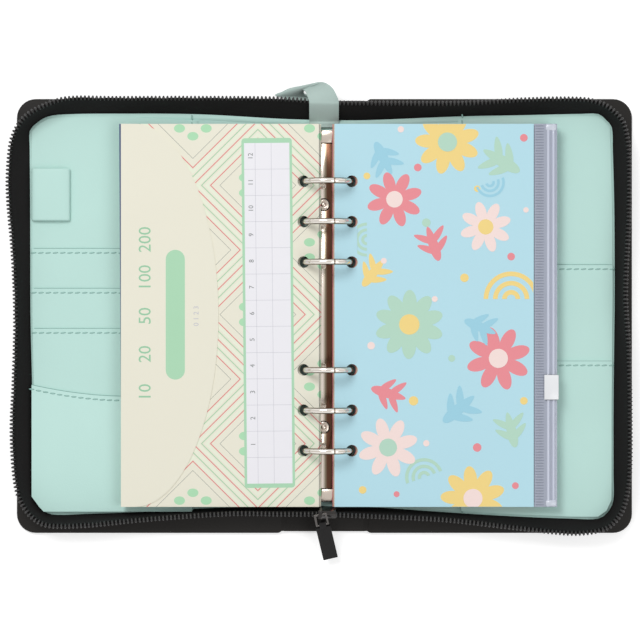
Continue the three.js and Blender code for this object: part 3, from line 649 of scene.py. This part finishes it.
bevelled_copy("ring_plate", arch_nickel_painted_reflection, "spine", 0.18, "plate")
bevelled_copy("upper_lever", nickel, "upper_lever", 0.3, "upper_lever_plate")
bevelled_copy("lower_lever", nickel, "lower_lever", 0.3, "lower_lever_plate")
dress("left_blade", blade_steel_painted_shade)
dress("right_blade", blade_steel_painted_shade)


def turned(name, profile, centre, look, body, steps=32):
    """A turned piece on an upright axis from its radius and height."""
    rings = []
    for radius, height in profile:
        rings.append([
            (centre[0] + radius * math.cos(2 * math.pi * k / steps),
             centre[1] + radius * math.sin(2 * math.pi * k / steps), height)
            for k in range(steps)
        ])
    return make(name, *loft(rings), look, body, smooth=35)


rivet_profile = [(1.4, 3.7), (1.4, 6.9), (2.75, 6.95), (2.75, 7.5), (2.6, 7.75), (2.1, 7.95), (1.75, 7.98),
                 (1.6, 7.8), (1.3, 7.75), (1.1, 7.95), (0.5, 8.15), (0.05, 8.2)]
for name, y in (("upper", 52.6), ("lower", -52.6)):
    rivet = turned(name + "_rivet_head", rivet_profile, (-0.4, y), nickel, "spine")
    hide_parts(name + "_rivet")

eyelet_profile = [(1.45, 8.05), (1.45, 8.4), (1.25, 8.55), (0.9, 8.5), (0.7, 8.2), (0.05, 8.15)]
eyelets = [turned(f"eyelet_{n}", eyelet_profile, (-0.5, y), nickel, "spine", 20)
           for n, y in enumerate((61.3, 42.4, 23.6, -23.6, -42.4, -61.3))]


def tube(points, radius, sides):
    """A round wire along a line of points, with slightly rounded ends."""
    rings = []
    line = [Vector(point) for point in points]
    normal = None
    for i, point in enumerate(line):
        ahead = line[min(i + 1, len(line) - 1)]
        behind = line[max(i - 1, 0)]
        along = (ahead - behind).normalized()
        if normal is None:
            normal = along.orthogonal().normalized()
        normal = (normal - along * normal.dot(along)).normalized()
        other = along.cross(normal)
        ring = [point + radius * (math.cos(2 * math.pi * k / sides) * normal
                                  + math.sin(2 * math.pi * k / sides) * other) for k in range(sides)]
        if i in (0, len(line) - 1):
            inset = 0.82
            back = 0.15 if i else -0.15
            rings_here = [[point + (p - point) * inset for p in ring], [p - along * back for p in ring]]
            rings += rings_here if i == 0 else rings_here[::-1]
        else:
            rings.append(ring)
    return rings


ring_heights = (63.5, 44.45, 25.4, -25.4, -44.45, -63.5)
ring_z = 13
ring_radius = 10.4
joint_angle = math.acos(3 / ring_radius)
joint_gap = 0.012
foot_angle = math.radians(52)
arc_steps = 26
for name, start, end in (
    ("left", joint_angle + joint_gap, math.pi + foot_angle),
    ("right", -foot_angle, joint_angle - joint_gap),
):
    points = []
    faces = []
    for y in ring_heights:
        turns = [start + (end - start) * i / arc_steps for i in range(arc_steps + 1)]
        arc = [(ring_x + ring_radius * math.cos(a), y, ring_z + ring_radius * math.sin(a)) for a in turns]
        ring_points, ring_faces = loft(tube(arc, wire_radius, 18))
        first = len(points)
        points += ring_points
        faces += [tuple(first + index for index in face) for face in ring_faces]
    halves = make(name + "_half_rings", points, faces, wire_nickel_painted_highlight, name + "_ring_half", smooth=50)
    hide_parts(*[f"{name}_half_ring_{n}" for n in range(1, 7)])

# Cash envelopes and the sheets under them
# Folded card printed with nested diamonds, and a half-oval flap over the outer half.
# The place of the title holds plain numbers, and the table's rows are numbered.
paper_cream = tint(232, 229, 212)
flap_paper = surface("cream card", paper_cream, 0.8, 0.5, 0.02, 0.012)


def overprint(tree, under, mask, colour):
    ink = tree.nodes.new("ShaderNodeMix")
    ink.data_type = "RGBA"
    tree.links.new(mask, ink.inputs[0])
    tree.links.new(under, ink.inputs[6])
    ink.inputs[7].default_value = colour
    return ink.outputs[2]


def diamond_card():
    """Cream card with nested diamonds in red, green and grey, and a ring of ovals in each diamond."""
    look = surface("cream card printed with diamonds", paper_cream, 0.8, 0.5, 0.02, 0.012)
    tree = look.node_tree
    split = tree.nodes.new("ShaderNodeSeparateXYZ")
    tree.links.new(tree.nodes["place"].outputs["Object"], split.inputs[0])
    half_x, half_y = 30.65 * MM, 30.45 * MM
    across = math_node(tree, "PINGPONG", math_node(tree, "ADD", split.outputs["X"], 31.4 * MM), half_x)
    up = math_node(tree, "PINGPONG", math_node(tree, "SUBTRACT", split.outputs["Y"], 0.7 * MM), half_y)
    share_x = math_node(tree, "DIVIDE", across, half_x)
    share_y = math_node(tree, "DIVIDE", up, half_y)
    reach = math_node(tree, "ADD", share_x, share_y)
    level = math_node(tree, "SUBTRACT", 1, math_node(tree, "ABSOLUTE", math_node(tree, "SUBTRACT", reach, 1)))
    colour = tree.nodes["base colour"].outputs[2]
    stripes = [
        (0.79, 0.03, tint(231, 236, 216)), (0.93, 0.03, tint(231, 236, 216)),
        (0.584, 0.005, tint(150, 155, 145)), (0.728, 0.0105, tint(222, 132, 128)),
        (0.866, 0.0105, tint(168, 208, 170)), (1.0, 0.0105, tint(222, 132, 128)),
    ]
    for place, half_width, ink in stripes:
        colour = overprint(tree, colour, math_node(tree, "COMPARE", level, place, half_width), ink)
    far = math_node(tree, "GREATER_THAN", reach, 1)
    far_x = math_node(tree, "MULTIPLY", far, half_x)
    far_y = math_node(tree, "MULTIPLY", far, half_y)
    mirrored_x = math_node(tree, "ABSOLUTE", math_node(tree, "SUBTRACT", far_x, across))
    mirrored_y = math_node(tree, "ABSOLUTE", math_node(tree, "SUBTRACT", far_y, up))
    for oval_x, oval_y, wide, tall in ((0, 7.3, 2.6, 2), (6.3, 3.6, 2.6, 2)):
        dx = math_node(tree, "DIVIDE", math_node(tree, "SUBTRACT", mirrored_x, oval_x * MM), wide * MM)
        dy = math_node(tree, "DIVIDE", math_node(tree, "SUBTRACT", mirrored_y, oval_y * MM), tall * MM)
        square_x = math_node(tree, "MULTIPLY", dx, dx)
        square_y = math_node(tree, "MULTIPLY", dy, dy)
        square = math_node(tree, "ADD", square_x, square_y)
        colour = overprint(tree, colour, math_node(tree, "LESS_THAN", square, 1), tint(172, 220, 180))
    tree.links.new(colour, tree.nodes["Principled BSDF"].inputs["Base Color"])
    return look


diamonds = diamond_card()
for number in (1, 2, 3, 4):
    dress(f"cash_envelope_{number}", diamonds)
dress("blue_divider", surface("slate blue card", tint(86, 103, 138), 0.75, 0.5, 0.03, 0.03))


def prism(name, outlines, low, high, look, body, rise=0.0):
    """Flat pieces from outlines in the plane, each a rise higher than the one before."""
    points = []
    faces = []
    for number, outline in enumerate(outlines):
        first = len(points)
        count = len(outline)
        points += [(x, y, low) for x, y in outline] + [(x, y, high + number * rise) for x, y in outline]
        faces.append(tuple(range(first + count - 1, first - 1, -1)))
        faces.append(tuple(range(first + count, first + 2 * count)))
        for k in range(count):
            m = (k + 1) % count
            faces.append((first + k, first + m, first + count + m, first + count + k))
    make(name, points, faces, look, body, smooth=0)


leaf_foot = -90
leaf_head = 90.6
card_top = 12.4
flap_top = 12.8
flap_outline = [(-95.95, leaf_foot), (-89.4, leaf_foot)]
flap_outline += [(-89.4 + 39.45 * math.cos(math.radians(a)), 0.3 + 90.3 * math.sin(math.radians(a)))
                 for a in [-90 + 180 * i / 90 for i in range(91)]]
flap_outline += [(-95.95, leaf_head)]
prism("envelope_flap", [flap_outline], 12.42, flap_top, flap_paper, "left_leaves")


def stadium(x0, x1, y0, y1):
    radius = (x1 - x0) / 2
    centre = (x0 + x1) / 2
    lower = [(centre + radius * math.cos(math.radians(a)), y0 + radius + radius * math.sin(math.radians(a)))
             for a in range(180, 361, 12)]
    upper = [(centre + radius * math.cos(math.radians(a)), y1 - radius + radius * math.sin(math.radians(a)))
             for a in range(0, 181, 12)]
    return lower + upper


green_ink = surface("green ink", tint(170, 214, 180), 0.75, 0.5, 0.01, 0.02)
deep_green_ink = surface("deeper green ink", tint(150, 200, 164), 0.75, 0.5, 0.01, 0.02)
grey_ink = surface("grey ink", tint(196, 196, 204), 0.8, 0.5, 0.01, 0.02)
dark_ink = surface("dark grey ink", tint(128, 132, 132), 0.8, 0.5, 0.01, 0.02)
pale_ink = surface("pale violet ink", tint(236, 235, 240), 0.8, 0.5, 0.01, 0.01)
pill = stadium(-74.8, -65.8, -30, 31.2)
prism("flap_pill", [pill], flap_top, 12.83, green_ink, "left_leaves")


ink_half_depth = 0.012


def numbers(name, entries, size, look, low, turn, body):
    """Plain numbers, each at its place in the plane."""
    holder_meshes = []
    for text, x, y in entries:
        data = bpy.data.curves.new(name, "FONT")
        data.body = text
        data.size = size * MM
        data.align_x = "CENTER"
        data.align_y = "CENTER"
        data.extrude = ink_half_depth * MM
        data.resolution_u = 3
        obj = bpy.data.objects.new(name, data)
        scene.collection.objects.link(obj)
        mesh = bpy.data.meshes.new_from_object(obj.evaluated_get(bpy.context.evaluated_depsgraph_get()))
        bpy.data.objects.remove(obj)
        place = Matrix.Translation((x * MM, y * MM, (low + ink_half_depth) * MM))
        mesh.transform(place @ Matrix.Rotation(turn, 4, "Z"))
        holder_meshes.append(mesh)
    shape = bmesh.new()
    for mesh in holder_meshes:
        shape.from_mesh(mesh)
        bpy.data.meshes.remove(mesh)
    merged = bpy.data.meshes.new(name)
    bmesh.ops.remove_doubles(shape, verts=shape.verts, dist=1e-7)
    shape.to_mesh(merged)
    shape.free()
    merged.materials.append(look)
    obj = bpy.data.objects.new(name, merged)
    scene.collection.objects.link(obj)
    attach(obj, body)


quarter = math.pi / 2
title = [(text, -84.4, y) for text, y in (("10", -36), ("20", -18), ("50", 0), ("100", 18), ("200", 36))]
numbers("flap_numbers", title, 8.2, deep_green_ink, flap_top, quarter, "left_leaves")
caption = [("0 1 2 3", -60.4, 0)]
numbers("flap_small_numbers", caption, 3.4, grey_ink, flap_top, quarter, "left_leaves")


def beside_line(x, y, along, side, angle):
    """A point some way along and beside a line that leaves (x, y) at an angle."""
    return (x + along * math.cos(angle) - side * math.sin(angle),
            y + along * math.sin(angle) + side * math.cos(angle))


def table_point(u, v):
    """From the table's own place, a little turned on the card, to the card's."""
    return beside_line(-26.5, 1.45, u, v, math.radians(0.55))


def table_box(u0, u1, v0, v1):
    return [table_point(u0, v0), table_point(u1, v0), table_point(u1, v1), table_point(u0, v1)]


def rounded_table(half_u, half_v, radius):
    outline = []
    for cu, cv, start in ((1, -1, -90), (1, 1, 0), (-1, 1, 90), (-1, -1, 180)):
        for step in range(6):
            angle = math.radians(start + 18 * step)
            outline.append(table_point(cu * (half_u - radius) + radius * math.cos(angle),
                                       cv * (half_v - radius) + radius * math.sin(angle)))
    return outline


table_half = 11.9
field_half = 10.7
table_top = 82.45
table_low = 2 - table_top
table_high = table_top - 2.3
border_top = 12.425
field_top = 12.45
rules_top = 12.465
border = rounded_table(table_half, table_top, 1.6)
prism("table_border", [border], card_top, border_top, green_ink, "left_leaves")
field = table_box(-field_half, field_half, table_low, table_high)
prism("table_field", [field], border_top, field_top, pale_ink, "left_leaves")
row = (table_high - table_low) / 13
rules = [table_box(-field_half, field_half, table_low + n * row - 0.08, table_low + n * row + 0.08)
         for n in range(1, 13)]
rules += [table_box(u - 0.08, u + 0.08, table_low, table_high) for u in (-5.5, 2.1)]
prism("table_rules", rules, field_top, rules_top, grey_ink, "left_leaves")
row_numbers = [(str(n), *table_point(-7.6, table_low + (n + 0.5) * row)) for n in range(1, 13)]
numbers("table_numbers", row_numbers, 3.2, dark_ink, rules_top, quarter, "left_leaves")

# Pouches and the coloured sheets between them
# Printed plastic pouches with a clear edge strip, whose press track is shut by a milky slider.
# The print is a scatter of daisies, sprigs, arcs and dots.
film_blue = surface("light blue printed film", tint(178, 218, 230), 0.45, 2.0, 0.02, 0.015)
dress("front_pouch", film_blue)
dress("rear_pouch", surface("coral printed film", tint(228, 136, 144), 0.45, 2.0, 0.02, 0.02))
dress("coral_sheet", surface("coral card", tint(228, 136, 144), 0.75, 0.5, 0.02, 0.02))
dress("yellow_sheet", surface("yellow card", tint(236, 208, 124), 0.75, 0.5, 0.02, 0.02))
dress("green_sheet", surface("green card", tint(175, 216, 180), 0.75, 0.5, 0.02, 0.02))

inks = {
    "coral": surface("coral ink", tint(228, 136, 144), 0.5, 2.0, 0.01, 0.02),
    "yellow": surface("yellow ink", tint(238, 210, 130), 0.5, 2.0, 0.01, 0.02),
    "green": surface("soft green ink", tint(176, 212, 192), 0.5, 2.0, 0.01, 0.02),
    "pink": surface("pale pink ink", tint(241, 219, 214), 0.5, 2.0, 0.01, 0.02),
    "blue": surface("deeper blue ink", tint(152, 204, 222), 0.5, 2.0, 0.01, 0.02),
}


def disc(x, y, radius, start=0, end=360, inner=0.0):
    steps = max(10, round((end - start) / 9))
    angles = [math.radians(start + (end - start) * i / steps) for i in range(steps + (end - start < 360))]
    outline = [(x + radius * math.cos(a), y + radius * math.sin(a)) for a in angles]
    if inner:
        outline += [(x + inner * math.cos(a), y + inner * math.sin(a)) for a in reversed(angles)]
    return outline


def petals(x, y, radius, count, turn):
    outlines = []
    for k in range(count):
        angle = turn + 2 * math.pi * k / count
        cx, cy = x + 0.62 * radius * math.cos(angle), y + 0.62 * radius * math.sin(angle)
        outline = []
        for step in range(20):
            t = 2 * math.pi * step / 20
            a, b = 0.4 * radius * math.cos(t), 0.21 * radius * math.sin(t)
            outline.append(beside_line(cx, cy, a, b, angle))
        outlines.append(outline)
    return outlines


def leaf_shape(x, y, length, width, angle):
    outline = []
    for step in range(24):
        t = step / 24
        along = length * (1 - math.cos(2 * math.pi * t)) / 2
        side = width / 2 * math.sin(2 * math.pi * t) * (1.15 - 0.5 * along / length)
        outline.append(beside_line(x, y, along, side, angle))
    return outline


def sprig(x, y, size, angle):
    leaves = [leaf_shape(x, y, size, 0.3 * size, angle)]
    for k in (0.25, 0.55):
        bx, by = x + k * size * math.cos(angle), y + k * size * math.sin(angle)
        for turn in (0.9, -0.9):
            leaves.append(leaf_shape(bx, by, 0.55 * size, 0.2 * size, angle + turn))
    return leaves


def within(outline, x0, x1, y0, y1):
    """The part of an outline inside the panel's edges."""
    for axis, limit, keep_below in ((0, x0, False), (0, x1, True), (1, y0, False), (1, y1, True)):
        kept = []
        for i, point in enumerate(outline):
            before = outline[i - 1]
            inside = point[axis] <= limit if keep_below else point[axis] >= limit
            was_inside = before[axis] <= limit if keep_below else before[axis] >= limit
            if inside != was_inside:
                share = (limit - before[axis]) / (point[axis] - before[axis])
                kept.append(tuple(b + share * (p - b) for b, p in zip(before, point)))
            if inside:
                kept.append(point)
        outline = kept
        if len(outline) < 3:
            return []
    return outline


daisies = [
    (58, 82, 15, 9, "yellow", "green"), (33, 55, 13, 8, "coral", "pink"), (76, 42, 12, 8, "pink", "yellow"),
    (40, -4, 16, 10, "green", "yellow"), (82, -20, 15, 8, "coral", "pink"), (30, -62, 14, 8, "pink", "green"),
    (70, -86, 15, 9, "yellow", "pink"),
]
sprigs = [
    (24, 82, 17, -1.1, "blue"), (92, 68, 20, 2.6, "green"), (54, 26, 17, 1.9, "coral"),
    (18, 14, 16, 0.9, "yellow"), (66, -2, 16, -0.4, "blue"), (22, -34, 17, -0.3, "coral"),
    (56, -50, 19, 0.7, "blue"), (90, -62, 17, 1.8, "green"),
]
arches = [
    (88, 8, 13, 0, "yellow"), (20, 36, 8, 90, "green"), (47, -76, 9, 20, "green"), (78, 63, 7, 200, "blue"),
]
dots = [
    (44, 70, 1.8, "coral"), (72, 60, 1.5, "yellow"), (48, 44, 2.0, "green"), (88, 28, 1.8, "coral"),
    (66, 18, 2.0, "yellow"), (28, 26, 1.4, "pink"), (22, -14, 1.8, "pink"), (60, -20, 1.6, "green"),
    (94, -40, 1.8, "yellow"), (42, -40, 2.2, "yellow"), (72, -62, 2.0, "coral"), (48, -60, 1.5, "pink"),
    (90, -80, 1.6, "coral"), (18, -82, 1.8, "yellow"), (34, -84, 1.4, "coral"), (20, 66, 1.6, "yellow"),
    (94, 84, 1.8, "coral"), (36, 88, 1.5, "pink"), (95, 50, 1.3, "pink"), (52, 8, 1.4, "pink"),
]
first_layer = {ink: [] for ink in inks}
second_layer = {ink: [] for ink in inks}
for x, y, radius, count, ink, heart in daisies:
    first_layer[ink] += petals(x, y, radius, count, 0.3)
    second_layer[heart].append(disc(x, y, 0.3 * radius))
for x, y, size, angle, ink in sprigs:
    first_layer[ink] += sprig(x, y, size, angle)
for x, y, radius, start, ink in arches:
    for share in (1, 0.66, 0.33):
        first_layer[ink].append(disc(x, y, radius * share, start, start + 180, radius * (share - 0.17)))
for x, y, radius, ink in dots:
    first_layer[ink].append(disc(x, y, radius))
panel = (15.5, 98.4, -89.9, 90.5)
film_top = 12.7
ink_rise = 0.001
ink_top = 12.71
for layer, outlines_of in (("under", first_layer), ("over", second_layer)):
    for ink, look in inks.items():
        shown = [part for part in (within(outline, *panel) for outline in outlines_of[ink]) if part]
        if shown:
            name = f"print_{ink}_{layer}"
            prism(name, shown, film_top, ink_top, look, "right_leaves", ink_rise)
        ink_top += len(shown) * ink_rise


def clear_plastic(name, colour, rough, alpha):
    look = surface(name, colour, rough, 1.2, 0.03, 0.03, coat=0.3)
    look.node_tree.nodes["Principled BSDF"].inputs["Alpha"].default_value = alpha
    return look


ribbed_film = clear_plastic("ribbed clear film", tint(172, 178, 194), 0.25, 0.78)
track_film = clear_plastic("clear press track", tint(214, 220, 236), 0.2, 0.8)
rib_film = clear_plastic("ribs in the film", tint(150, 156, 172), 0.3, 0.6)
milky = clear_plastic("milky slider plastic", tint(238, 240, 243), 0.3, 0.92)
weld_film = clear_plastic("welded film end", tint(222, 228, 240), 0.2, 0.75)


def strip_pieces(name, low_y, high_y):
    """Film, ribs, the two beads of the press track and the welded ends, from the node's own box."""
    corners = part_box(name + "_zip_strip")
    x0, x1 = corners[0][0] / MM, corners[1][0] / MM
    middle = (corners[0][2] + corners[1][2]) / 2 / MM
    film = []
    for x in (x0, x0 + 4.9, x0 + 5.1, x1 - 0.3, x1):
        edge = 0.12 if x in (x0, x1) else 0.19
        under, over = middle - edge, middle + edge
        film.append([(x, low_y, under), (x, high_y, under), (x, high_y, over), (x, low_y, over)])
    piece = make(name + "_film", *loft(film), ribbed_film, "right_leaves")
    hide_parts(name + "_zip_strip")
    rib_line = [(x0 + 2.5, low_y + 1, middle + 0.19), (x0 + 2.5, high_y - 1, middle + 0.19)]
    ribs = beads_along(name + "_ribs", [rib_line],
                       1.3, (0.55, 4.4, 0.16), rib_film, "right_leaves", segments=8)
    for label, x, radius in (("inner", x1 - 4.2, 0.75), ("outer", x1 - 1.7, 0.7)):
        line = [(x, low_y + (high_y - low_y) * k / 30, middle) for k in range(31)]
        bead = make(f"{name}_{label}_track", *loft(tube(line, radius, 12)), track_film, "right_leaves")
    for label, y in (("top", high_y - 1.7), ("bottom", low_y + 1.7)):
        rings = []
        for inset, height in ((0.5, -0.5), (0, -0.3), (0, 0.5), (0.4, 0.8)):
            rings.append([(a, b, middle + height) for a, b in
                          board_outline(x1 - 5.4, x1 - 0.4, -1.5, 1.5, 1, 1, inset)])
        rings = [[(a, b + y, c) for a, b, c in ring] for ring in rings]
        weld = make(f"{name}_{label}_weld", *loft(rings), weld_film, "right_leaves")


strip_pieces("front_pouch", leaf_foot, leaf_head)
strip_pieces("rear_pouch", leaf_foot, leaf_head)
for node in ("front_pouch_slider", "rear_pouch_slider"):
    bevelled_copy(node, milky, node, 0.35, node + "_grip")

# Zip slider and pull
# A dark plated slider sits astride the tape at the spine's lower end.
# A dark bail turns in its crown and holds a leathercloth tab.
gunmetal = surface("dark polished slider", tint(58, 56, 55), 0.22, 1.0, 0.01, 0.05, metal=1.0)
bail_metal = surface("dark plated bail", tint(96, 93, 91), 0.18, 1.0, 0.01, 0.03, metal=1.0)
pull_skin = surface("black tab leathercloth", tint(27, 26, 26), 0.6, 0.6, 0.1, 0.1, shine=0.2)
bevelled_copy("zip_slider", gunmetal, "spine", 0.25, "slider")
bevelled_copy("pull_bail", bail_metal, "zip_pull", 0.3, "bail")
bevelled_copy("pull_tab", pull_skin, "zip_pull", 0.35, "tab")

# Strap loop
# Grey-mint suede strap, sewn in at the spine's upper end and turned back on itself.
strap_path = [
    ((-0.2, 89.4, 4.5), (1, 0, 0)), ((-0.2, 91.2, 4.7), (1, 0, 0)), ((-0.2, 93.2, 5.4), (1, 0, 0)),
    ((-0.2, 99.3, 12.9), (1, 0, 0)), ((-0.3, 101.3, 14.1), (1, 0, 0)),
    ((-1.4, 104.2, 14.3), (0.98, 0.02, 0.2)),
    ((-2.9, 106.9, 13), (0.85, 0.15, 0.5)), ((-6, 108.7, 10.4), (0.72, 0.2, 0.66)),
    ((-10.4, 108.5, 7.4), (0.7, 0.08, 0.7)), ((-14.6, 107, 4.8), (0.85, 0.1, 0.5)),
    ((-16.6, 105.2, 2.6), (0.97, 0.05, 0.2)), ((-12.8, 103.8, 1.5), (1, 0, 0)),
    ((-12.2, 101.8, 1.5), (1, 0, 0)),
]
suede = surface("grey-mint suede strap", tint(176, 196, 190), 0.85, 0.25, 0.12, 0.08, sheen=0.4)


def eased(values, i, t):
    last = len(values) - 1
    a, b, c, d = (Vector(values[min(max(k, 0), last)]) for k in (i - 1, i, i + 1, i + 2))
    square = 2 * a - 5 * b + 4 * c - d
    cube = 3 * b - a - 3 * c + d
    return 0.5 * ((2 * b) + (c - a) * t + square * t ** 2 + cube * t ** 3)


centres = [place for place, across in strap_path]
widths = [across for place, across in strap_path]
strap_line = []
for i in range(len(strap_path) - 1):
    for k in range(5):
        strap_line.append((eased(centres, i, k / 5), eased(widths, i, k / 5).normalized()))
strap_line.append((Vector(centres[-1]), Vector(widths[-1])))
strap_rings = []
for i, (centre, across) in enumerate(strap_line):
    along = strap_line[min(i + 1, len(strap_line) - 1)][0] - strap_line[max(i - 1, 0)][0]
    up = along.cross(across).normalized()
    ring = []
    for s, u in ((-7, -0.2), (-6.6, -0.52), (-3, -0.55), (3, -0.55), (6.6, -0.52), (7, -0.2),
                 (7, 0.2), (6.6, 0.52), (3, 0.55), (-3, 0.55), (-6.6, 0.52), (-7, 0.2)):
        ring.append(centre + across * s + up * u)
    strap_rings.append(ring)
strap = make("strap", *loft(strap_rings), suede, "spine", smooth=50)
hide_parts("strap_loop")
